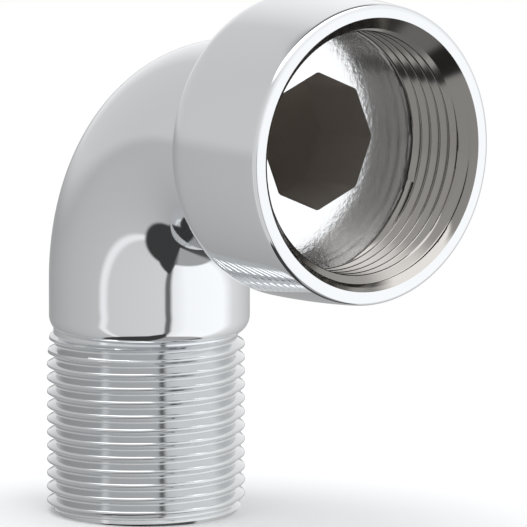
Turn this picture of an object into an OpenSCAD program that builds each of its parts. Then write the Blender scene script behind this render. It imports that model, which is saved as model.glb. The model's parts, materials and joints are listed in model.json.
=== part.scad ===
// Wall outlet elbow: a one-piece plated brass bend with a male pipe thread at one end and a
// wide female socket at the other. The socket's floor is the sealing face, and a hexagon
// broached through it takes the key that drives the elbow home.
// Units are millimetres. The origin is on the male thread's axis, where the thread stops.
// +Z runs up the male leg to the bend, and +X runs out of the socket's mouth.
// Both threads are drawn as plain walls at their major size.

/* [Male leg] */
// Major diameter of the male thread, a 1 inch pipe thread
male_thread_d = 33.25; // [33.0:0.05:33.4]
// Length from the end face to the point where the thread stops
male_thread_length = 30.2; // [24:0.2:36]
// Diameter of the end face, inside its lead-in chamfer
male_end_d = 30.2; // [29:0.2:31]
// Height of the lead-in chamfer at the end
male_chamfer_length = 1.7; // [1:0.1:2.4]
// Diameter of the run-out groove above the thread
runout_d = 32.2; // [31:0.1:32.8]
// Length of the run-out groove
runout_length = 1.3; // [0.8:0.1:2]

/* [Bend] */
// Outer diameter of the smooth tube
tube_d = 33.6; // [33.3:0.1:34.5]
// Radius of the tube's centreline through the bend
bend_radius = 25.6; // [23:0.2:27]
// Rounding of the tube's lower edge, above the run-out groove
neck_rounding = 2.2; // [1:0.1:3]
// Height of the socket's axis above the male end face
axis_height = 66; // [64:0.5:75]
// Diameter of the waterway through the leg and the bend
waterway_d = 25; // [23:0.5:26]
// Countersink at the waterway's lower end
waterway_chamfer = 0.6; // [0.2:0.1:1]

/* [Socket] */
// Distance from the male axis to the face of the mouth
socket_reach = 59.5; // [58:0.5:64]
// Largest outer diameter, at the crown of the barrel
socket_d = 49.6; // [48:0.2:52]
// Radius of the barrel's gentle crown, measured along the socket
crown_radius = 180; // [120:10:400]
// Distance of the crown's widest point behind the mouth
crown_setback = 15.5; // [14:0.5:17]
// Length of the socket's barrel, from the shoulder's back to the mouth
socket_length = 24.5; // [23:0.5:26]
// Radius of the rounded shoulder at the back
shoulder_radius = 6.4; // [4:0.2:7]
// Radius of the hollow fillet between the shoulder and the tube
root_fillet = 1.6; // [0.6:0.2:1.6]
// Rounding of the mouth's outer edge
rim_rounding = 0.9; // [0.5:0.1:1.4]
// Major diameter of the female thread, with its clearance
socket_thread_d = 42; // [41.95:0.05:42.4]
// Depth from the mouth to the flat sealing face
socket_depth = 14.1; // [13:0.1:15]
// Diameter of the countersunk mouth, at its face
mouth_d = 43.9; // [43.2:0.1:44.6]

/* [Key hexagon] */
// Width across the flats of the broached hexagon
hex_across_flats = 20; // [19:0.1:20.6]
// Diameter of the drilled hole that cuts the hexagon's corners short
hex_corner_d = 21.8; // [21.4:0.1:22.2]
// Depth of the hexagon behind the sealing face
hex_depth = 13; // [12:0.5:15]

/* [Hidden] */
// One node: the elbow is cast and machined as a single piece
$fn = 96;
// overlap that keeps a cut from ending flush with a face
eps = 0.5;
// how far the bend's plugs stay inside its surface, and reach past its ends
plug_inset = 1;
plug_reach = 1;
half = 0.5;
right_angle = 90;
hex_sides = 6;
chrome_tone = [0.83, 0.84, 0.86];
male_r = male_thread_d * half;
male_end_r = male_end_d * half;
runout_r = runout_d * half;
tube_r = tube_d * half;
bore_r = waterway_d * half;
end_z = -male_thread_length;
neck_z = runout_length;
axis_z = axis_height - male_thread_length;
bend_z = axis_z - bend_radius;
socket_r = socket_d * half;
back_x = socket_reach - socket_length;
floor_x = socket_reach - socket_depth;
hex_end_x = floor_x - hex_depth;
crown_x = socket_reach - crown_setback;
// the crown is a circle about this radius off the axis (negative, far side)
crown_centre_r = socket_r - crown_radius;
// centres of the two edge roundings, each inside the crown and touching it
rim_x = socket_reach - rim_rounding;
rim_r = crown_centre_r + sqrt(pow(crown_radius - rim_rounding, 2) - pow(rim_x - crown_x, 2));
shoulder_x = back_x + shoulder_radius;
shoulder_r = crown_centre_r + sqrt(pow(crown_radius - shoulder_radius, 2) - pow(shoulder_x - crown_x, 2));
// where each rounding touches the crown
rim_touch_x = crown_x + (rim_x - crown_x) * crown_radius / (crown_radius - rim_rounding);
shoulder_touch_x = crown_x + (shoulder_x - crown_x) * crown_radius / (crown_radius - shoulder_radius);
socket_wall_r = socket_thread_d * half;
mouth_r = mouth_d * half;
mouth_chamfer = mouth_r - socket_wall_r;
// a regular hexagon's corner radius from its width across flats
hex_corner_r = hex_across_flats * half / cos(right_angle / 3);

elbow_body();

module elbow_body() {
  color(chrome_tone)
    difference() {
      union() {
        male_leg();
        bend(tube_r);
        socket_barrel();
      }
      waterway();
      socket_bore();
      key_hexagon();
    }
}

// threaded end, run-out groove and the smooth neck, turned as one section up to the bend's start
module male_leg() {
  rotate_extrude() {
    polygon([
      [0, end_z],
      [male_end_r, end_z],
      [male_r, end_z + male_chamfer_length],
      [male_r, 0],
      [runout_r, 0],
      [runout_r, neck_z],
      [tube_r - neck_rounding, neck_z],
      [tube_r, neck_z + neck_rounding],
      [tube_r, bend_z],
      [0, bend_z]
    ]);
    translate([tube_r - neck_rounding, neck_z + neck_rounding]) circle(r = neck_rounding);
  }
}

// quarter bend of the given tube radius, in the plane of both axes, with a plug across each end
module bend(r) {
  translate([bend_radius, 0, bend_z])
    rotate([right_angle, 0, 0])
      rotate([0, 0, right_angle])
        rotate_extrude(angle = right_angle) translate([bend_radius, 0]) circle(r = r);
  translate([0, 0, bend_z]) bend_plug(r);
  translate([bend_radius, 0, axis_z]) rotate([0, right_angle, 0]) bend_plug(r);
}

// slimmer core that overlaps the ring and the straight tube, whose ends only touch
module bend_plug(r) {
  cylinder(r = r - plug_inset, h = 2 * plug_reach, center = true);
}

// turned outside of the socket, with the short straight tube behind it
module socket_barrel() {
  translate([0, 0, axis_z])
    rotate([0, right_angle, 0]) {
      translate([0, 0, bend_radius]) cylinder(r = tube_r, h = back_x - bend_radius + eps);
      rotate_extrude() barrel_profile();
      rotate_extrude() root_fillet_profile();
    }
}

// half section of the barrel: radius across, distance along the socket up
module barrel_profile() {
  intersection() {
    translate([crown_centre_r, crown_x]) circle(r = crown_radius);
    translate([0, shoulder_touch_x]) square([socket_r + eps, rim_touch_x - shoulder_touch_x]);
  }
  translate([0, back_x]) square([shoulder_r, shoulder_radius]);
  translate([0, rim_x]) square([rim_r, rim_rounding]);
  translate([shoulder_r, shoulder_x]) circle(r = shoulder_radius);
  translate([rim_r, rim_x]) circle(r = rim_rounding);
}

// hollow fillet in the corner between the tube and the shoulder's back
module root_fillet_profile() {
  difference() {
    translate([tube_r - eps, back_x - root_fillet]) square([root_fillet + eps, root_fillet + eps]);
    translate([tube_r + root_fillet, back_x - root_fillet]) circle(r = root_fillet);
  }
}

// water's way: up the leg, round the bend and on to the hexagon
module waterway() {
  translate([0, 0, bend_z])
    mirror([0, 0, 1]) cylinder(r = bore_r, h = bend_z - end_z + eps);
  translate([0, 0, end_z - eps])
    cylinder(r1 = bore_r + waterway_chamfer + eps, r2 = bore_r, h = waterway_chamfer + eps);
  bend(bore_r);
  translate([bend_radius, 0, axis_z])
    rotate([0, right_angle, 0]) cylinder(r = bore_r, h = hex_end_x - bend_radius);
}

// female thread's wall, its flat floor and the countersunk mouth
module socket_bore() {
  translate([0, 0, axis_z])
    rotate([0, right_angle, 0]) {
      translate([0, 0, floor_x]) cylinder(r = socket_wall_r, h = socket_depth + eps);
      translate([0, 0, socket_reach - mouth_chamfer])
        cylinder(r1 = socket_wall_r, r2 = mouth_r + eps, h = mouth_chamfer + eps);
    }
}

// broached hexagon with its corners cut short by the drilled hole
module key_hexagon() {
  translate([hex_end_x - eps, 0, axis_z])
    rotate([0, right_angle, 0])
      intersection() {
        cylinder(r = hex_corner_r, h = hex_depth + 2 * eps, $fn = hex_sides);
        cylinder(r = hex_corner_d * half, h = hex_depth + 2 * eps);
      }
}
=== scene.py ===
import json
import math

import bmesh
import bpy
import numpy as np
from mathutils import Matrix, Vector


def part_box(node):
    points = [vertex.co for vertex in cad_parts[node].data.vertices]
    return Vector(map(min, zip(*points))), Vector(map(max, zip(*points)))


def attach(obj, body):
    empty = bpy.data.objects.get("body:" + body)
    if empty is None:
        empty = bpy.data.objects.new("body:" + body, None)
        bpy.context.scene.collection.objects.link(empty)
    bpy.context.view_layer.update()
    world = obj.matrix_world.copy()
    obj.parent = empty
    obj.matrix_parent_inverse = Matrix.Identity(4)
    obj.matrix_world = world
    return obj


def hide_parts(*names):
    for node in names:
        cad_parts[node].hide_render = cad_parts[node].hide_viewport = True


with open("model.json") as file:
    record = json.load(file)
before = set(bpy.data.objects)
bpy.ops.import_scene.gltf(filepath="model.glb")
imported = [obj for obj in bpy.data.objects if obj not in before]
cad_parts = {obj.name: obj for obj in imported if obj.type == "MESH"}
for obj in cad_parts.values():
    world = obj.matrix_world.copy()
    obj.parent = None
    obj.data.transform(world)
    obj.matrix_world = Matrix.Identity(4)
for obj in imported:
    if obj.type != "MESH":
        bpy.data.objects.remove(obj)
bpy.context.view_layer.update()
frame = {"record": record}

# All forms below are worked out in millimetres and turned into metres when the mesh is made.
MM = 0.001

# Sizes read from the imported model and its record
record = frame["record"]
mounts = {mount["name"]: mount for mount in record["mounts"]}
low, high = (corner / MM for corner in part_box("elbow_body"))
AXIS_Z = mounts["female_thread"]["pos_m"][2] / MM
FLOOR_X = mounts["seal_seat"]["pos_m"][0] / MM
END_Z = low.z
MOUTH_X = high.x
SOCKET_R = high.y

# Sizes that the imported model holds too, repeated here because no record gives them
TUBE_R = 16.8
BEND_RADIUS = 25.6
SHOULDER_BACK_X = 35.0
SHOULDER_RADIUS = 6.4
CROWN_RADIUS = 180.0
CROWN_X = 44.0
ROOT_FILLET = 1.6
RIM_ROUNDING = 0.9
MOUTH_R = 21.95
BORE_R = 12.5
BORE_CHAMFER = 0.6
KEY_END_X = 32.4

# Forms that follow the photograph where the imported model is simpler. The cast tube lies inside the
# corner, off both machined axes, and the neck is rounded in to a deeper run-out groove.
CAST_OFFSET = 0.95
NECK_HEIGHT = 3.2
NECK_ROUNDING = 3.1
RUNOUT_R = 15.5
# The key opening is an octagon that lies a little above the socket's axis.
KEY_SIDES = 8
KEY_APOTHEM = 10.4
KEY_CORNER_R = 11.15
KEY_RISE = 0.85

# Pipe threads: 11 turns to the inch, 55 degree flanks, crests and roots rounded
PITCH = 25.4 / 11
THREAD_DEPTH = 0.640327 * PITCH
THREAD_ROUND = 0.137329 * PITCH
FLANK_ANGLE = math.radians(27.5)
MALE_MAJOR_R = 33.249 / 2
FEMALE_MAJOR_R = 41.91 / 2
MALE_END_R = 15.1
# where a crest passes the row's +X side of the male thread and the low side of the female one
MALE_CREST_Z = -32.14
FEMALE_CREST_X = 45.81 - PITCH / 4
MALE_CHAMFER_LENGTH = 1.7
# how much height the last crests lose on the outer side of the corner, and over what length
CREST_LOSS = 0.6
CREST_LOSS_LENGTH = 5.0
# lengths over which the threads run out, into the groove below the neck and at the socket's floor
RUNOUT_RAMP = 0.35
FLOOR_RAMP = 0.45

# the point about which the bend turns
BEND_X = BEND_RADIUS + CAST_OFFSET
BEND_Z = AXIS_Z - BEND_X

SEGMENTS = 192
ARC_STEPS = 6
# in metres
WELD_DISTANCE = 2e-6
SHARP_ANGLE = math.radians(38)


def ring_angles():
    return np.arange(SEGMENTS + 1) * (2 * math.pi / SEGMENTS)


def upright_ring(radius, z, shift=0.0):
    """A ring about the male axis; radius and z are numbers or one value per column."""
    t = ring_angles()
    return np.stack([shift + radius * np.cos(t), radius * np.sin(t), z + 0 * t], axis=1)


def socket_ring(radius, x, drop=0.0):
    """A ring about the socket's axis, turning the way the bend carries the upright ones."""
    t = ring_angles()
    return np.stack([x + 0 * t, radius * np.sin(t), AXIS_Z - drop - radius * np.cos(t)], axis=1)


def bend_ring(radius, turn, angle):
    """A ring of a bend with its centreline at radius turn; angle is 0 at the male leg."""
    t = ring_angles()
    out = turn - radius * np.cos(t)
    x = BEND_X - out * math.cos(angle)
    z = BEND_Z + out * math.sin(angle)
    return np.stack([x, radius * np.sin(t), z], axis=1)


def steps(start, end, count):
    return np.linspace(start, end, count + 1)


def thread_stations():
    """Distances from the crest's middle over one pitch, starting in a root."""
    tangent = THREAD_ROUND * math.cos(FLANK_ANGLE)
    flank_end = PITCH / 2 - tangent
    half = [0.0, tangent / 2, tangent, flank_end, PITCH / 2 - tangent / 2, PITCH / 2]
    return [-u for u in reversed(half[1:])] + half[:-1]


def thread_depth(along):
    """Depth below the crest at a distance from its middle, for a rounded 55 degree profile."""
    u = abs(along)
    tangent = THREAD_ROUND * math.cos(FLANK_ANGLE)
    tangent_depth = THREAD_ROUND * (1 - math.sin(FLANK_ANGLE))
    if u <= tangent:
        return THREAD_ROUND - math.sqrt(THREAD_ROUND ** 2 - u ** 2)
    if u >= PITCH / 2 - tangent:
        return THREAD_DEPTH - THREAD_ROUND + math.sqrt(THREAD_ROUND ** 2 - (PITCH / 2 - u) ** 2)
    return tangent_depth + (u - tangent) / math.tan(FLANK_ANGLE)


def ramp(value, start, end):
    """0 at start, 1 at end, held outside."""
    return np.clip((value - start) / (end - start), 0.0, 1.0)


def male_thread():
    """Helical rows from the end face to the run-out; the crests lose height near the neck."""
    t = ring_angles()
    chamfer_slope = (MALE_MAJOR_R - MALE_END_R) / MALE_CHAMFER_LENGTH
    rows = []
    turns = int(math.ceil((0.0 - MALE_CREST_Z) / PITCH)) + 1
    for turn in range(-1, turns):
        for along in thread_stations():
            z = MALE_CREST_Z + turn * PITCH + along + PITCH * t / (2 * math.pi)
            z = np.clip(z, END_Z, 0.0)
            top = MALE_MAJOR_R - CREST_LOSS * ramp(z, -CREST_LOSS_LENGTH, 0.0) * (1 - np.cos(t)) / 2
            radius = np.minimum(MALE_MAJOR_R - thread_depth(along), top)
            radius = np.minimum(radius, MALE_END_R + (z - END_Z) * chamfer_slope)
            radius = radius + (RUNOUT_R - radius) * ramp(z, -RUNOUT_RAMP, 0.0)
            rows.append(upright_ring(radius, z))
    return rows


def female_thread():
    """Helical rows from the mouth's countersink down to the floor."""
    t = ring_angles()
    rows = []
    turns = int(math.ceil((MOUTH_X - FEMALE_CREST_X) / PITCH)) + 1
    for turn in reversed(range(-2, turns)):
        for along in reversed(thread_stations()):
            x = FEMALE_CREST_X + turn * PITCH + along + PITCH * t / (2 * math.pi)
            x = np.clip(x, FLOOR_X, MOUTH_X)
            radius = FEMALE_MAJOR_R - THREAD_DEPTH + thread_depth(along) + 0 * t
            radius = radius + (FEMALE_MAJOR_R - radius) * ramp(x, FLOOR_X + FLOOR_RAMP, FLOOR_X)
            radius = np.maximum(radius, MOUTH_R - (MOUTH_X - x))
            rows.append(socket_ring(radius, x))
    return rows


def neck():
    """Run-out groove and the smooth neck, which is rounded in below and lies off the thread's axis."""
    t = ring_angles()
    join_r = np.hypot(RUNOUT_R - CAST_OFFSET * np.cos(t), CAST_OFFSET * np.sin(t))
    inner = TUBE_R - NECK_ROUNDING
    join_z = NECK_HEIGHT - np.sqrt(NECK_ROUNDING ** 2 - (join_r - inner) ** 2)
    join_angle = np.arcsin((NECK_HEIGHT - join_z) / NECK_ROUNDING)
    rows = [upright_ring(RUNOUT_R, join_z * part) for part in steps(0, 1, 2)]
    for part in steps(0, 1, 2 * ARC_STEPS):
        angle = join_angle * (1 - part)
        reach = inner + NECK_ROUNDING * np.cos(angle)
        z = NECK_HEIGHT - NECK_ROUNDING * np.sin(angle)
        radius = CAST_OFFSET * np.cos(t) + np.sqrt(reach ** 2 - (CAST_OFFSET * np.sin(t)) ** 2)
        rows.append(upright_ring(radius, z))
    return rows


def tube():
    """Straight neck, quarter bend and the short straight tube up to the socket's root."""
    rows = [upright_ring(TUBE_R, z, CAST_OFFSET) for z in steps(NECK_HEIGHT, BEND_Z, 4)[1:]]
    rows += [bend_ring(TUBE_R, BEND_RADIUS, angle) for angle in steps(0, math.pi / 2, 32)[1:]]
    fillet_x = SHOULDER_BACK_X - ROOT_FILLET
    rows += [socket_ring(TUBE_R, x, CAST_OFFSET) for x in steps(BEND_X, fillet_x, 5)[1:]]
    for part in steps(0, 1, 2 * ARC_STEPS)[1:]:
        angle = part * math.pi / 2
        rise = (SHOULDER_R - TUBE_R) * (1 - math.cos(angle))
        drop = CAST_OFFSET * math.cos(angle)
        rows.append(socket_ring(TUBE_R + rise, fillet_x + ROOT_FILLET * math.sin(angle), drop))
    return rows


# centres of the two edge roundings of the barrel, inside its crown and touching it
CROWN_CENTRE_R = SOCKET_R - CROWN_RADIUS
SHOULDER_X = SHOULDER_BACK_X + SHOULDER_RADIUS
SHOULDER_TILT = math.asin((SHOULDER_X - CROWN_X) / (CROWN_RADIUS - SHOULDER_RADIUS))
SHOULDER_R = CROWN_CENTRE_R + (CROWN_RADIUS - SHOULDER_RADIUS) * math.cos(SHOULDER_TILT)
RIM_X = MOUTH_X - RIM_ROUNDING
RIM_TILT = math.asin((RIM_X - CROWN_X) / (CROWN_RADIUS - RIM_ROUNDING))
RIM_R = CROWN_CENTRE_R + (CROWN_RADIUS - RIM_ROUNDING) * math.cos(RIM_TILT)


def barrel():
    """Rounded shoulder, gently crowned barrel, rounded rim and the flat rim face."""
    rows = []
    for tilt in steps(-math.pi / 2, SHOULDER_TILT, 3 * ARC_STEPS)[1:]:
        radius = SHOULDER_R + SHOULDER_RADIUS * math.cos(tilt)
        rows.append(socket_ring(radius, SHOULDER_X + SHOULDER_RADIUS * math.sin(tilt)))
    for tilt in steps(SHOULDER_TILT, RIM_TILT, 2 * ARC_STEPS)[1:]:
        radius = CROWN_CENTRE_R + CROWN_RADIUS * math.cos(tilt)
        rows.append(socket_ring(radius, CROWN_X + CROWN_RADIUS * math.sin(tilt)))
    for tilt in steps(RIM_TILT, math.pi / 2, 2 * ARC_STEPS)[1:]:
        radius = RIM_R + RIM_ROUNDING * math.cos(tilt)
        rows.append(socket_ring(radius, RIM_X + RIM_ROUNDING * math.sin(tilt)))
    rows += [socket_ring(radius, MOUTH_X) for radius in steps(RIM_R, MOUTH_R, 2)[1:]]
    return rows


def key_ring(x):
    """A ring of the key opening; it has a corner straight below the axis."""
    per_side = SEGMENTS // KEY_SIDES
    half_side = per_side // 2
    column = np.arange(SEGMENTS + 1)
    from_flat = column % per_side - half_side
    cut_from = math.acos(KEY_APOTHEM / KEY_CORNER_R)
    corner = math.pi / KEY_SIDES
    columns = [-half_side, 1 - half_side, half_side - 1, half_side]
    side_angle = np.interp(from_flat, columns, [-corner, -cut_from, cut_from, corner])
    radius = np.minimum(KEY_APOTHEM / np.cos(side_angle), KEY_CORNER_R)
    t = (column - from_flat) * (2 * math.pi / SEGMENTS) + side_angle
    return np.stack([x + 0 * t, radius * np.sin(t), AXIS_Z + KEY_RISE - radius * np.cos(t)], axis=1)


def between(first, last, count):
    """Rows from one ring to another, without the first."""
    return [first + (last - first) * part for part in steps(0, 1, count)[1:]]


def floor():
    """Flat sealing face from the thread's root to the key opening."""
    return between(socket_ring(FEMALE_MAJOR_R, FLOOR_X), key_ring(FLOOR_X), 4)


def key_opening():
    return between(key_ring(FLOOR_X), key_ring(KEY_END_X), 8)


def waterway():
    """From the back of the key opening through the bend and down the leg to the end face."""
    rows = between(key_ring(KEY_END_X), socket_ring(BORE_R, KEY_END_X), 1)
    rows += [socket_ring(BORE_R, x) for x in steps(KEY_END_X, BEND_X, 3)[1:]]
    rows += [bend_ring(BORE_R, BEND_X, angle) for angle in steps(math.pi / 2, 0, 20)[1:]]
    rows += [upright_ring(BORE_R, z) for z in steps(BEND_Z, END_Z + BORE_CHAMFER, 6)[1:]]
    rows.append(upright_ring(BORE_R + BORE_CHAMFER, END_Z))
    return rows


def end_face():
    inner = upright_ring(BORE_R + BORE_CHAMFER, END_Z)
    return between(inner, upright_ring(MALE_END_R, END_Z), 2)


def build_elbow(bands):
    """One closed surface from the bands of rings; each band has its own material."""
    rows = []
    materials = []
    for number, band in bands:
        rows += band
        materials += [number] * len(band)
    rows.append(rows[0])
    materials.append(materials[0])
    points = np.concatenate(rows) * MM
    columns = SEGMENTS + 1
    faces = []
    face_materials = []
    for row in range(len(rows) - 1):
        start = row * columns
        for column in range(SEGMENTS):
            corner = start + column
            faces.append((corner, corner + 1, corner + columns + 1, corner + columns))
            face_materials.append(materials[row + 1])
    mesh = bpy.data.meshes.new("elbow")
    mesh.from_pydata(points.tolist(), [], faces)
    mesh.polygons.foreach_set("material_index", face_materials)
    weld = bmesh.new()
    weld.from_mesh(mesh)
    bmesh.ops.remove_doubles(weld, verts=weld.verts, dist=WELD_DISTANCE)
    bmesh.ops.dissolve_degenerate(weld, edges=weld.edges, dist=WELD_DISTANCE)
    weld.to_mesh(mesh)
    weld.free()
    mesh.shade_smooth()
    mesh.set_sharp_from_angle(angle=SHARP_ANGLE)
    return mesh


def metal(name, tone, roughness, bump=0.0, bump_scale=100.0):
    """Plated metal; bump adds fine unevenness of the surface."""
    material = bpy.data.materials.new(name)
    material.use_nodes = True
    nodes = material.node_tree.nodes
    links = material.node_tree.links
    shader = nodes["Principled BSDF"]
    shader.inputs["Base Color"].default_value = (*tone, 1.0)
    shader.inputs["Metallic"].default_value = 1.0
    shader.inputs["Roughness"].default_value = roughness
    if bump:
        coordinates = nodes.new("ShaderNodeTexCoord")
        noise = nodes.new("ShaderNodeTexNoise")
        noise.inputs["Scale"].default_value = bump_scale
        noise.inputs["Detail"].default_value = 3.0
        relief = nodes.new("ShaderNodeBump")
        relief.inputs["Strength"].default_value = 1.0
        relief.inputs["Distance"].default_value = bump
        links.new(coordinates.outputs["Object"], noise.inputs["Vector"])
        links.new(noise.outputs["Fac"], relief.inputs["Height"])
        links.new(relief.outputs["Normal"], shader.inputs["Normal"])
    return material


BODY, THREAD, SOCKET_THREAD, FLOOR, WATER = range(5)
elbow_mesh = build_elbow([
    (BODY, end_face()),
    (THREAD, male_thread()),
    (BODY, neck()),
    (BODY, tube()),
    (BODY, barrel()),
    (SOCKET_THREAD, female_thread()),
    (FLOOR, floor()),
    (WATER, key_opening()),
    (WATER, waterway()),
])
CHROME_TONE = (0.80, 0.81, 0.825)
THREAD_TONE = (0.70, 0.71, 0.72)
# the socket's thread gets a dark tone: painted shade for the recess inside the socket, darker than the
# chrome's own colour
SOCKET_THREAD_SHADE_TONE = (0.30, 0.285, 0.27)
FLOOR_TONE = (0.90, 0.91, 0.92)
WATERWAY_TONE = (0.75, 0.71, 0.67)
elbow_mesh.materials.append(metal("chrome", CHROME_TONE, 0.05))
elbow_mesh.materials.append(metal("chrome_thread", THREAD_TONE, 0.10))
# the socket's thread material carries painted shade of the socket's recess in its dark colour
elbow_mesh.materials.append(metal("chrome_socket_thread_painted_shade", SOCKET_THREAD_SHADE_TONE, 0.12))
elbow_mesh.materials.append(metal("chrome_floor", FLOOR_TONE, 0.16, 0.00003, 1400.0))
elbow_mesh.materials.append(metal("chrome_waterway", WATERWAY_TONE, 0.55))
elbow = bpy.data.objects.new("elbow", elbow_mesh)
bpy.context.scene.collection.objects.link(elbow)
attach(elbow, "root")
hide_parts("elbow_body")

# Camera, fitted to the photograph: it looks back along (azimuth, elevation) at the aim point
IMAGE_SIZE = 527
SENSOR = 36.0
CAMERA_AZIMUTH = math.radians(51.412)
CAMERA_ELEVATION = math.radians(8.163)
CAMERA_ROLL = math.radians(0.155)
CAMERA_DISTANCE = 993.43
CAMERA_FOCAL_PIXELS = 6000.0
CAMERA_PAN = (12.166, -1.762)
CAMERA_AIM = Vector((12.0, 0.0, 14.8))


def camera_axes():
    azimuth_cos = math.cos(CAMERA_AZIMUTH)
    azimuth_sin = math.sin(CAMERA_AZIMUTH)
    elevation_cos = math.cos(CAMERA_ELEVATION)
    back = Vector((azimuth_sin * elevation_cos, -azimuth_cos * elevation_cos, math.sin(CAMERA_ELEVATION)))
    level = Vector((azimuth_cos, azimuth_sin, 0.0))
    rise = back.cross(level)
    right = math.cos(CAMERA_ROLL) * level + math.sin(CAMERA_ROLL) * rise
    up = back.cross(right)
    return right, up, back


right, up, back = camera_axes()
place = CAMERA_AIM + back * CAMERA_DISTANCE + right * CAMERA_PAN[0] + up * CAMERA_PAN[1]
camera_data = bpy.data.cameras.new("camera")
camera_data.sensor_width = SENSOR
camera_data.lens = CAMERA_FOCAL_PIXELS / IMAGE_SIZE * SENSOR
camera_data.clip_start = 0.05
camera_data.clip_end = 20.0
camera = bpy.data.objects.new("camera", camera_data)
camera.matrix_world = Matrix.Translation(place * MM) @ Matrix((right, up, back)).transposed().to_4x4()
bpy.context.scene.collection.objects.link(camera)
bpy.context.scene.camera = camera


GROUND_TONE = (0.96, 0.96, 0.96)
GROUND_SIZE = 2.0
# distances from the male end, in metres, between which the ground turns into plain white
GROUND_FADE = (0.06, 0.20)


def stage_floor():
    """A white ground: a real surface near the object, plain white far from it."""
    size = GROUND_SIZE
    mesh = bpy.data.meshes.new("ground")
    corners = [(-size, -size, 0), (size, -size, 0), (size, size, 0), (-size, size, 0)]
    mesh.from_pydata(corners, [], [(0, 1, 2, 3)])
    ground = bpy.data.objects.new("ground", mesh)
    ground.location = (0.0, 0.0, END_Z * MM)
    # the polished metal mirrors the studio below it, not this ground
    ground.visible_glossy = False
    bpy.context.scene.collection.objects.link(ground)
    material = bpy.data.materials.new("ground")
    material.use_nodes = True
    nodes = material.node_tree.nodes
    links = material.node_tree.links
    nodes.clear()
    coordinates = nodes.new("ShaderNodeTexCoord")
    distance = nodes.new("ShaderNodeVectorMath")
    distance.operation = "LENGTH"
    fade = nodes.new("ShaderNodeMapRange")
    fade.inputs["From Min"].default_value = GROUND_FADE[0]
    fade.inputs["From Max"].default_value = GROUND_FADE[1]
    surface = nodes.new("ShaderNodeBsdfDiffuse")
    surface.inputs["Color"].default_value = (*GROUND_TONE, 1.0)
    white = nodes.new("ShaderNodeEmission")
    white.inputs["Color"].default_value = (1.0, 1.0, 1.0, 1.0)
    mix = nodes.new("ShaderNodeMixShader")
    output = nodes.new("ShaderNodeOutputMaterial")
    links.new(coordinates.outputs["Object"], distance.inputs[0])
    links.new(distance.outputs["Value"], fade.inputs["Value"])
    links.new(fade.outputs["Result"], mix.inputs["Fac"])
    links.new(surface.outputs["BSDF"], mix.inputs[1])
    links.new(white.outputs["Emission"], mix.inputs[2])
    links.new(mix.outputs["Shader"], output.inputs["Surface"])
    mesh.materials.append(material)


stage_floor()

# The studio round the object. Azimuths are in degrees, 0 on the photographer's side and rising
# towards the socket's mouth; each pair is an azimuth and the light that comes from there.
STUDIO_TURN = math.radians(90) - CAMERA_AZIMUTH
SIDE_LIGHT = [
    (-180, 0.42), (-150, 0.40), (-130, 0.46), (-100, 0.54), (-60, 0.60),
    (-55, 0.98), (-51, 0.98), (-46, 0.70), (18, 0.76), (20, 0.16), (24, 0.16),
    (28, 0.98), (45, 1.15), (95, 1.20), (112, 0.85), (150, 0.62), (180, 0.42),
]
# the same above the horizon
UPPER_LIGHT = [
    (-180, 1.05), (-166, 0.90), (-150, 0.70), (-110, 0.66), (-60, 0.70), (0, 0.78),
    (45, 1.05), (95, 1.10), (130, 0.85), (180, 1.05),
]
HORIZON = (-5.0, 4.0)
LOW_LIGHT = [(-180, 0.05), (24, 0.05), (34, 0.42), (105, 0.42), (120, 0.10), (180, 0.05)]
# elevation under which the low light takes over, in degrees
LOW_EDGE = [
    (-180, -50), (-120, -62), (-60, -58), (0, -52), (14, -43), (22, -38), (28, -56), (180, -58),
]
LOW_EDGE_WIDTH = 4.0
# a wide softbox over the photographer's side, and a dim ceiling behind it
CEILING_LIGHT = [(-180, 0.22), (-120, 0.22), (-95, 2.6), (95, 2.6), (120, 0.22), (180, 0.22)]
CEILING_RANGE = (44.0, 54.0)
STUDIO_TINT = (0.985, 0.995, 1.0)


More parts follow.
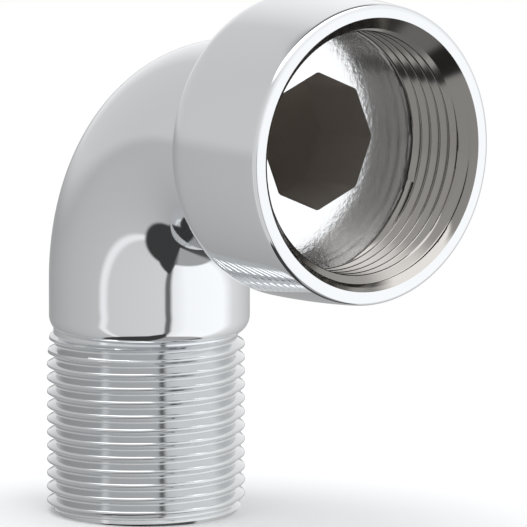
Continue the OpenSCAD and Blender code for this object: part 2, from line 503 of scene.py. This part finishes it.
def studio_world():
    """Soft panels, walls and ceiling as light by direction; the camera sees plain white."""
    world = bpy.data.worlds.new("studio")
    world.use_nodes = True
    nodes = world.node_tree.nodes
    links = world.node_tree.links
    nodes.clear()

    def math_node(operation, *values):
        node = nodes.new("ShaderNodeMath")
        node.operation = operation
        for socket, value in zip(node.inputs, values):
            if isinstance(value, (int, float)):
                socket.default_value = value
            else:
                links.new(value, socket)
        return node.outputs["Value"]

    def ramp_node(turn, stops, lowest, highest):
        """A value by azimuth; turn runs from 0 to 1 for -180 to 180 degrees."""
        node = nodes.new("ShaderNodeValToRGB")
        elements = node.color_ramp.elements
        while len(elements) > 1:
            elements.remove(elements[-1])
        for number, (azimuth, value) in enumerate(stops):
            position = azimuth / 360 + 0.5
            element = elements[0] if number == 0 else elements.new(position)
            element.position = position
            level = (value - lowest) / (highest - lowest)
            element.color = (level, level, level, 1.0)
        links.new(turn, node.inputs["Fac"])
        return math_node("MULTIPLY_ADD", node.outputs["Color"], highest - lowest, lowest)

    def smooth_step(value, start, end):
        node = nodes.new("ShaderNodeMapRange")
        node.interpolation_type = "SMOOTHSTEP"
        for name, wanted in (("Value", value), ("From Min", start), ("From Max", end)):
            if isinstance(wanted, (int, float)):
                node.inputs[name].default_value = wanted
            else:
                links.new(wanted, node.inputs[name])
        return node.outputs["Result"]

    def blend(share, first, second):
        difference = math_node("SUBTRACT", second, first)
        return math_node("MULTIPLY_ADD", difference, share, first)

    coordinates = nodes.new("ShaderNodeTexCoord")
    turned = nodes.new("ShaderNodeVectorRotate")
    turned.rotation_type = "Z_AXIS"
    turned.inputs["Angle"].default_value = STUDIO_TURN
    parts = nodes.new("ShaderNodeSeparateXYZ")
    links.new(coordinates.outputs["Generated"], turned.inputs["Vector"])
    links.new(turned.outputs["Vector"], parts.inputs["Vector"])
    azimuth = math_node("ARCTAN2", parts.outputs["Y"], parts.outputs["X"])
    turn = math_node("MULTIPLY_ADD", azimuth, 0.5 / math.pi, 0.5)
    height = math_node("MINIMUM", math_node("MAXIMUM", parts.outputs["Z"], -1.0), 1.0)
    elevation = math_node("MULTIPLY", math_node("ARCSINE", height), 180 / math.pi)

    side = ramp_node(turn, SIDE_LIGHT, 0.0, 1.5)
    upper = ramp_node(turn, UPPER_LIGHT, 0.0, 1.5)
    ceiling = ramp_node(turn, CEILING_LIGHT, 0.0, 3.0)
    low = ramp_node(turn, LOW_LIGHT, 0.0, 1.5)
    edge = ramp_node(turn, LOW_EDGE, -90.0, 0.0)
    wall = blend(smooth_step(elevation, *HORIZON), side, upper)
    above_edge = math_node("SUBTRACT", elevation, edge)
    lower = blend(smooth_step(above_edge, -LOW_EDGE_WIDTH / 2, LOW_EDGE_WIDTH / 2), low, wall)
    light_level = blend(smooth_step(elevation, *CEILING_RANGE), lower, ceiling)

    path = nodes.new("ShaderNodeLightPath")
    light = nodes.new("ShaderNodeBackground")
    light.inputs["Color"].default_value = (*STUDIO_TINT, 1.0)
    white = nodes.new("ShaderNodeBackground")
    white.inputs["Color"].default_value = (1.0, 1.0, 1.0, 1.0)
    mix = nodes.new("ShaderNodeMixShader")
    output = nodes.new("ShaderNodeOutputWorld")
    links.new(light_level, light.inputs["Strength"])
    links.new(path.outputs["Is Camera Ray"], mix.inputs["Fac"])
    links.new(light.outputs["Background"], mix.inputs[1])
    links.new(white.outputs["Background"], mix.inputs[2])
    links.new(mix.outputs["Shader"], output.inputs["Surface"])
    bpy.context.scene.world = world


studio_world()
bpy.context.scene.view_settings.view_transform = "Standard"
